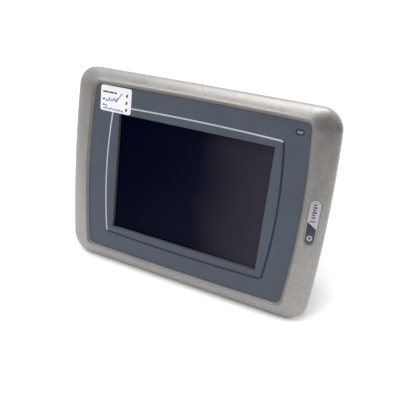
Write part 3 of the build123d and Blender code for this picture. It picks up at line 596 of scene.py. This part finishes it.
def printed_line(first, last, thick):
    """Part of the printed line round the screen, as a thin raised strip."""
    outer = outline(LINE_W + thick, LINE_H + thick, LINE_BOW, LINE_R + thick / 2)
    inner = outline(LINE_W - thick, LINE_H - thick, LINE_BOW, LINE_R - thick / 2)
    top = FILM_FRONT - LINE_T
    total = len(outer)
    sections = []
    for i in range(first, last + 1):
        a, b = outer[i % total], inner[i % total]
        inset = (a - b).normalized() * LINE_BEVEL
        sections.append([
            Vector((a.x, FILM_FRONT, a.y)), Vector((a.x - inset.x, top, a.y - inset.y)),
            Vector((b.x + inset.x, top, b.y + inset.y)), Vector((b.x, FILM_FRONT, b.y)),
        ])
    return smooth(skin(sections, closed=False), 60)


half_turn = 2 * (CORNER + SIDE)
upper_right = SIDE // 2 + CORNER // 2
lower_left = upper_right + half_turn
line_light = printed_line(upper_right, lower_left, LIGHT_LINE)
line_dark = printed_line(lower_left, lower_left + half_turn, DARK_LINE)
add("line_light", line_light, light_ink, "root")
add("line_dark", line_dark, dark_ink, "root")

# Painted shade: a thin dark lining over the window's silver reveal wall, in place of the shade in that
# recess.
REVEAL_SHADE_W = 0.15 * MM
window_reveal_shade = [outline(WINDOW_W, WINDOW_H), outline(WINDOW_W - 2 * REVEAL_SHADE_W, WINDOW_H - 2 * REVEAL_SHADE_W)]
add("window_reveal_shade", plate(window_reveal_shade, GLASS_FRONT, FILM_BACK, 0.0), reveal_painted_shade, "root")

# ---------------------------------------------------------------- badge

PRINT = 0.03 * MM
PRINT_EDGE = 0.01 * MM
BADGE_EDGE = 0.22 * MM
FOOT_INSET = 0.45 * MM
FOOT_EDGE = 0.02 * MM
FOOT_RIGHT = -4.0 * MM
FOOT_LEFT = 0.6 * MM
RING_Z = -10.6 * MM
RING_OUTER = 3.6 * MM
RING_INNER = 1.9 * MM
STRIPE = (0, 1.2 * MM, 3.4 * MM, 1.1 * MM)
BAR_WIDTHS = (1.5, 2.6, 1.9, 2.9, 1.6, 2.4)
BAR_TOP = 12.6
BAR_PITCH = 1.75
BAR_H = 1.0
BAR_STAGGER = 0.2


def on_badge(name, outlines, back, front, edge, material, replaces=()):
    """Flat piece in the badge's own plane, where depths are counted from the recess's floor."""
    mesh = plate(outlines, -back, -front, edge)
    mesh.transform(BADGE_FRAME)
    add(name, mesh, material, "root", replaces)


def rectangle(x, z, width, height, lean=0.0):
    """Four corners round a middle; lean shifts the top to the right and the bottom to the left."""
    a, b = width / 2, height / 2
    return [Vector((x - a - lean, z - b)), Vector((x + a - lean, z - b)),
            Vector((x + a + lean, z + b)), Vector((x - a + lean, z + b))]


def badge_foot():
    """Outline of the dark lower part, which ends in a slanting edge."""
    radius = BADGE_W / 2 - FOOT_INSET
    middle = -(BADGE_L / 2 - BADGE_W / 2)
    steps = 24
    points = []
    for i in range(steps + 1):
        angle = math.pi + math.pi * i / steps
        points.append(Vector((radius * math.cos(angle), middle + radius * math.sin(angle))))
    points.append(Vector((radius, FOOT_RIGHT)))
    points.append(Vector((-radius, FOOT_LEFT)))
    return points


def badge_bars():
    """Short bars of uneven width in a column, which stand for the badge's lettering."""
    bars = []
    for i, width in enumerate(BAR_WIDTHS):
        x = (width - BAR_WIDTHS[1]) * BAR_STAGGER
        z = BAR_TOP - BAR_PITCH * i
        bars.append(rectangle(x * MM, z * MM, width * MM, BAR_H * MM))
    return bars


badge_ring = [pill(0, RING_Z, size, size) for size in (RING_OUTER, RING_INNER)]
print_back, print_front = BADGE_T - PRINT, BADGE_T + PRINT
badge_plate = [pill(0, 0, BADGE_W, BADGE_L)]
on_badge("badge_plate", badge_plate, 0.0, BADGE_T, BADGE_EDGE, badge_silver, ["name_badge"])
on_badge("badge_foot", [badge_foot()], print_back, print_front, FOOT_EDGE, badge_dark)
on_badge("badge_ring", badge_ring, BADGE_T, BADGE_T + 2 * PRINT, PRINT_EDGE, badge_silver)
on_badge("badge_stripe", [rectangle(*STRIPE)], print_back, print_front, PRINT_EDGE, badge_red)
on_badge("badge_bars", badge_bars(), print_back, print_front, PRINT_EDGE, badge_dark)

# ---------------------------------------------------------------- paper label

LABEL_FRONT = label_low.y
LABEL_W = label_high.x - label_low.x
LABEL_H = label_high.z - label_low.z
LABEL_R = 1.8 * MM
LABEL_EDGE = 0.03 * MM
INK_FLATNESS = 0.2
label_middle = (label_low + label_high) / 2

# Printed rows, in millimetres: how far down each lies, how high its bars are, and their widths.
LABEL_ROWS = ((4.7, 1.2, (4.6, 4.2, 2.2)), (10.1, 1.1, (2.0,)), (14.3, 1.0, (1.8, 1.2)))
LABEL_LEFT = 1.8
WORD_GAP = 0.5
BLOCK_ROWS = (5.3, 10.4, 15.4)
BLOCK_COLUMN = 22.4
BLOCK_SIZE = (1.5 * MM, 2.2 * MM, 0.15 * MM)


def on_label(u, v):
    """Point on the label, in millimetres to the right of and below its upper left corner."""
    return Vector((label_low.x + u * MM, label_high.z - v * MM))


def label_outline():
    """The label's outline, in its place on the film."""
    points = outline(LABEL_W, LABEL_H, radius=LABEL_R, side=8)
    return [p + Vector((label_middle.x, label_middle.z)) for p in points]


def label_marks():
    """Short printed bars in rows on the left, and a column of small blocks on the right."""
    marks = []
    for v, height, widths in LABEL_ROWS:
        u = LABEL_LEFT
        for width in widths:
            at = on_label(u + width / 2, v)
            marks.append(rectangle(at.x, at.y, width * MM, height * MM))
            u += width + WORD_GAP
    for v in BLOCK_ROWS:
        at = on_label(BLOCK_COLUMN, v)
        marks.append(rectangle(at.x, at.y, *BLOCK_SIZE))
    return marks


def pen_stroke(points, width):
    """Smooth pen line through points on the label, as a thin raised thread of ink."""
    curve = bpy.data.curves.new("pen", "CURVE")
    curve.dimensions = "3D"
    curve.bevel_depth = width / 2
    curve.bevel_resolution = 2
    curve.resolution_u = 6
    spline = curve.splines.new("NURBS")
    spline.points.add(len(points) - 1)
    for place, (u, v) in zip(spline.points, points):
        at = on_label(u, v)
        place.co = (at.x, LABEL_FRONT, at.y, 1)
    spline.order_u = 3
    spline.use_endpoint_u = True
    mesh = applied(curve)
    to_label = Matrix.Translation((0, LABEL_FRONT, 0))
    mesh.transform(to_label @ Matrix.Diagonal((1, INK_FLATNESS, 1, 1)) @ to_label.inverted())
    return smooth(mesh)


def waves(u, v, count, pitch, height, rise=0.0):
    """Points of a row of pen waves of uneven height that lean to the right."""
    lean, uneven, beat = 0.5, 0.25, 1.7
    back, down = 0.1, 0.6
    points = []
    for i in range(2 * count + 1):
        top = i % 2
        tall = height * (1 - uneven * math.sin(beat * i))
        points.append((u + i * pitch / 2 + lean * top, v - tall * top - rise * i))
        if top:
            points.append((u + i * pitch / 2 + back, v - down * tall - rise * i))
    return points


# Each pen line is its points, in millimetres from the label's upper left corner, and its thickness.
PEN_LINES = (
    (waves(4.4, 12.0, 4, 2.1, 3.0, 0.15) + [(13.0, 10.4), (14.6, 8.0)], 0.6 * MM),
    ([(13.4, 11.4), (14.2, 9.8), (16.4, 6.8), (18.5, 4.0)], 0.7 * MM),
    (waves(2.2, 17.4, 8, 2.2, 2.0, -0.02), 0.55 * MM),
)
label_sheet = plate([label_outline()], label_high.y, LABEL_FRONT, LABEL_EDGE)
add("label_sheet", label_sheet, paper, "root", ["service_label"])
label_print = plate(label_marks(), LABEL_FRONT + PRINT, LABEL_FRONT - PRINT, PRINT_EDGE)
add("label_print", label_print, dark_print, "root")
for i, (points, thick) in enumerate(PEN_LINES):
    add(f"label_pen_{i + 1}", pen_stroke(points, thick), pen_ink, "root")

# ---------------------------------------------------------------- rear

# CAD nodes whose sharp edges are rounded here, and the width of each one's bevel in millimetres.
ROUNDED = {
    "rear_case": 0.5, "expansion_cover": 0.35, "clamp_brackets": 0.3, "power_plug": 0.3,
    "power_header": 0.2, "jack_nuts": 0.15, "ethernet_jack": 0.15, "usb_host_port": 0.15,
    "usb_device_port": 0.15, "earth_nut": 0.2, "case_screws": 0.12, "m3_screws": 0.1,
    "mode_switch": 0.15, "rating_label": 0.05,
}


def rounded(name, width):
    """Copy of a CAD node with its sharp edges rounded, which takes the node's place."""
    mesh = nodes[name].data.copy()
    work = bmesh.new()
    work.from_mesh(mesh)
    bmesh.ops.remove_doubles(work, verts=work.verts, dist=1e-6)
    bmesh.ops.dissolve_limit(work, angle_limit=math.radians(1), verts=work.verts, edges=work.edges)
    work.to_mesh(mesh)
    work.free()
    slot = slot_of[name]
    mesh = smooth(bevelled(mesh, width * MM, 35), 40)
    add(f"{name}_rounded", mesh, SLOT_MATERIALS[slot], body_of[name], [name])


for name, width in ROUNDED.items():
    rounded(name, width)

PLATE_INK = 0.02 * MM
PLATE_INK_EDGE = 0.005 * MM


def on_plate(u, v, width, height):
    """Rectangle on the rating plate, measured in millimetres.

    Its middle is given in shares of the plate from the lower left corner as seen from behind.
    """
    x = plate_high.x - (plate_high.x - plate_low.x) * u
    z = plate_low.z + (plate_high.z - plate_low.z) * v
    return rectangle(x, z, width * MM, height * MM)


def plate_marks():
    """The rating plate's print: a heading, rows of short bars, three squares and a row of thin bars."""
    heading = on_plate(0.5, 0.86, 52, 2.6)
    marks = [heading]
    for row in range(4):
        height = 0.70 - 0.13 * row
        marks.append(on_plate(0.17, height, 12, 1.1))
        marks.append(on_plate(0.47 + 0.02 * (row % 2), height, 20 - 3 * (row % 3), 1.1))
    for i in range(18):
        marks.append(on_plate(0.10 + 0.028 * i, 0.13, 0.5 + 0.4 * (i * 7 % 3), 4.2))
    for i in range(3):
        marks.append(on_plate(0.86, 0.66 - 0.2 * i, 7, 3.6))
    return marks


rating_print = plate(plate_marks(), plate_high.y + PLATE_INK, plate_high.y - PLATE_INK, PLATE_INK_EDGE)
add("rating_print", rating_print, dark_print, "root")

# ---------------------------------------------------------------- stage, light and camera

# The panel stands on its frame's lower edge and leans back on its case, so the floor slopes in its frame.
LEAN = math.atan((case_low.z - frame_low.z) / case_high.y)
FLOOR_POINT = Vector((0, 0, frame_low.z))
FLOOR_REACH = 4.0
DARK_SIDE = Vector((-0.55, -0.83, 0)).normalized()
PAPER_WHITE = (0.96, 0.96, 0.96)
# Painted shade: the grey that the floor fades to far out to the front and left.
PAPER_PAINTED_SHADE = (0.42, 0.42, 0.42)
FADE_START, FADE_STOP = 0.22, 0.8


def floor_material():
    """White paper that darkens smoothly far out to the front and left; that darkening is painted shade."""
    material = shader("floor_paper", PAPER_WHITE, 0.9)
    place = node(material, "ShaderNodeTexCoord")
    along = node(material, "ShaderNodeVectorMath", operation="DOT_PRODUCT")
    along.inputs[1].default_value = DARK_SIDE
    link(material, place.outputs["Object"], along.inputs[0])
    fade = spread(material, along.outputs["Value"], 0.0, 1.0, FADE_START, FADE_STOP)
    tone = colors(material, fade, [(0.0, PAPER_WHITE), (1.0, PAPER_PAINTED_SHADE)])
    link(material, tone, surface_of(material).inputs["Base Color"])
    bump(material, noise(material, 1.5 * MM), 0.01 * MM)
    return material


def lay_floor():
    """Wide sheet under the panel's two resting edges."""
    corners = [(x * FLOOR_REACH, y * FLOOR_REACH, 0) for x, y in ((-1, -1), (1, -1), (1, 1), (-1, 1))]
    mesh = bpy.data.meshes.new("floor")
    mesh.from_pydata(corners, [], [(0, 1, 2, 3)])
    mesh.materials.append(floor_material())
    floor = bpy.data.objects.new("floor", mesh)
    scene.collection.objects.link(floor)
    floor.matrix_world = Matrix.Translation(FLOOR_POINT) @ Matrix.Rotation(LEAN, 4, "X")


lay_floor()

DIM_SIDE = Vector((0.3, -0.75, -0.6)).normalized()
SKY_BRIGHT, SKY_DIM = 1.5, 0.22
DIM_START, DIM_STOP = -0.7, 0.6


def studio():
    """Soft surroundings, bright above and behind, and dim below in front, where the screen faces."""
    world = bpy.data.worlds.new("studio")
    scene.world = world
    world.use_nodes = True
    place = node(world, "ShaderNodeTexCoord")
    along = node(world, "ShaderNodeVectorMath", operation="DOT_PRODUCT")
    along.inputs[1].default_value = DIM_SIDE
    link(world, place.outputs["Generated"], along.inputs[0])
    sky = spread(world, along.outputs["Value"], SKY_BRIGHT, SKY_DIM, DIM_START, DIM_STOP)
    background = world.node_tree.nodes["Background"]
    background.inputs["Color"].default_value = (1, 1, 1, 1)
    link(world, sky, background.inputs["Strength"])


studio()


def sun(name, direction, strength, angle):
    """Very soft sunlight from a direction."""
    light = bpy.data.lights.new(name, "SUN")
    light.energy = strength
    light.angle = math.radians(angle)
    holder = bpy.data.objects.new(name, light)
    holder.rotation_mode = "QUATERNION"
    holder.rotation_quaternion = Vector(direction).to_track_quat("Z", "Y")
    scene.collection.objects.link(holder)


sun("key", (-0.1, -0.4, 1.0), 1.3, 40)
sun("window", (-0.38, -0.88, 0.3), 0.62, 22)

scene.view_settings.view_transform = "Standard"

EYE = Vector((0.1494, -0.3260, 0.1197))
AIM = Vector((0.0119, -0.0084, -0.0040))
ROLL = math.radians(6.83)
LENS = 46.66
SENSOR_WIDTH = 36.0
NEAREST = 0.01


def place_camera():
    """Camera at the photograph's viewing angle."""
    settings = bpy.data.cameras.new("camera")
    settings.lens = LENS
    settings.sensor_width = SENSOR_WIDTH
    settings.clip_start = NEAREST
    camera = bpy.data.objects.new("camera", settings)
    camera.location = EYE
    camera.rotation_mode = "QUATERNION"
    facing = (AIM - EYE).to_track_quat("-Z", "Y")
    camera.rotation_quaternion = facing @ Matrix.Rotation(ROLL, 4, "Z").to_quaternion()
    scene.collection.objects.link(camera)
    scene.camera = camera


place_camera()
